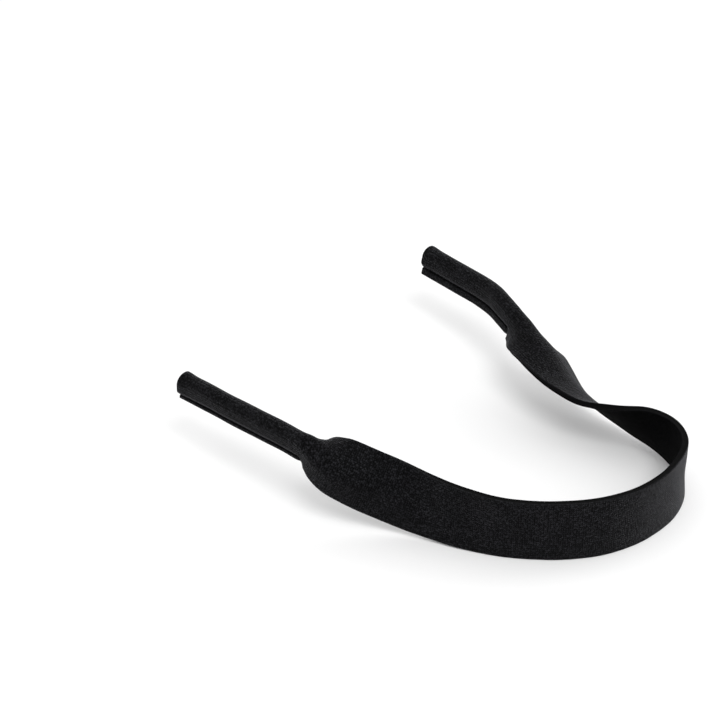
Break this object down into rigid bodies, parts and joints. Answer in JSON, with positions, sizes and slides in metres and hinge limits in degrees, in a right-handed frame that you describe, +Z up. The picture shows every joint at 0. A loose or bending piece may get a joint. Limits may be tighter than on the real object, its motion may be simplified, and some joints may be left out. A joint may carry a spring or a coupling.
{
  "type": "eyeglass retainer strap",
  "caption": "Black neoprene strap with a broad band that curves behind the head and folded, sewn sleeves at its ends that push over the temples of a pair of glasses.",
  "frame": {"origin": "on the table under the middle of the strap's bounding box", "axes": "+Y points to the front, the way the sleeves open towards the glasses; +X to the wearer's right; +Z up, with the band standing on its lower edge"},
  "size_m": [0.1406, 0.165, 0.036],
  "materials": {
    "foam_core": "matt closed-cell foam, seen at the cut edges",
    "knit_outer": "fine matt jersey knit bonded to the foam",
    "knit_inner": "fine matt jersey knit lining",
    "seam_thread": "spun polyester sewing thread"
  },
  "bodies": {
    "left_sleeve": {"left_sleeve_core": "foam_core", "left_sleeve_outer_knit": "knit_outer", "left_sleeve_inner_knit": "knit_inner", "left_seam_needle_thread": "seam_thread", "left_seam_bobbin_thread": "seam_thread"},
    "left_band": {"left_band_core": "foam_core", "left_band_outer_knit": "knit_outer", "left_band_inner_knit": "knit_inner"},
    "back_band": {"back_band_core": "foam_core", "back_band_outer_knit": "knit_outer", "back_band_inner_knit": "knit_inner"},
    "right_band": {"right_band_core": "foam_core", "right_band_outer_knit": "knit_outer", "right_band_inner_knit": "knit_inner"},
    "right_sleeve": {"right_sleeve_core": "foam_core", "right_sleeve_outer_knit": "knit_outer", "right_sleeve_inner_knit": "knit_inner", "right_seam_needle_thread": "seam_thread", "right_seam_bobbin_thread": "seam_thread"}
  },
  "joints": [
    {"name": "left_bend", "type": "hinge", "parent": "back_band", "child": "left_band", "pos_m": [-0.0387, -0.03618, 0.013], "axis": [0.0232, -0.0541, 0.9983], "range_deg": [-15, 30], "stiffness_Nm_per_rad": 0.002},
    {"name": "left_neck", "type": "hinge", "parent": "left_band", "child": "left_sleeve", "pos_m": [-0.06616, 0.02458, 0.03009], "axis": [-0.0014, 0.0298, 0.9996], "range_deg": [-20, 35], "stiffness_Nm_per_rad": 0.001},
    {"name": "right_bend", "type": "hinge", "parent": "back_band", "child": "right_band", "pos_m": [0.0452, -0.07178, 0.01275], "axis": [-0.0016, -0.0015, 1], "range_deg": [-30, 15], "stiffness_Nm_per_rad": 0.002},
    {"name": "right_neck", "type": "hinge", "parent": "right_band", "child": "right_sleeve", "pos_m": [0.0607, 0.03352, 0.02897], "axis": [-0.0382, -0.1059, 0.9936], "range_deg": [-35, 20], "stiffness_Nm_per_rad": 0.001}
  ]
}
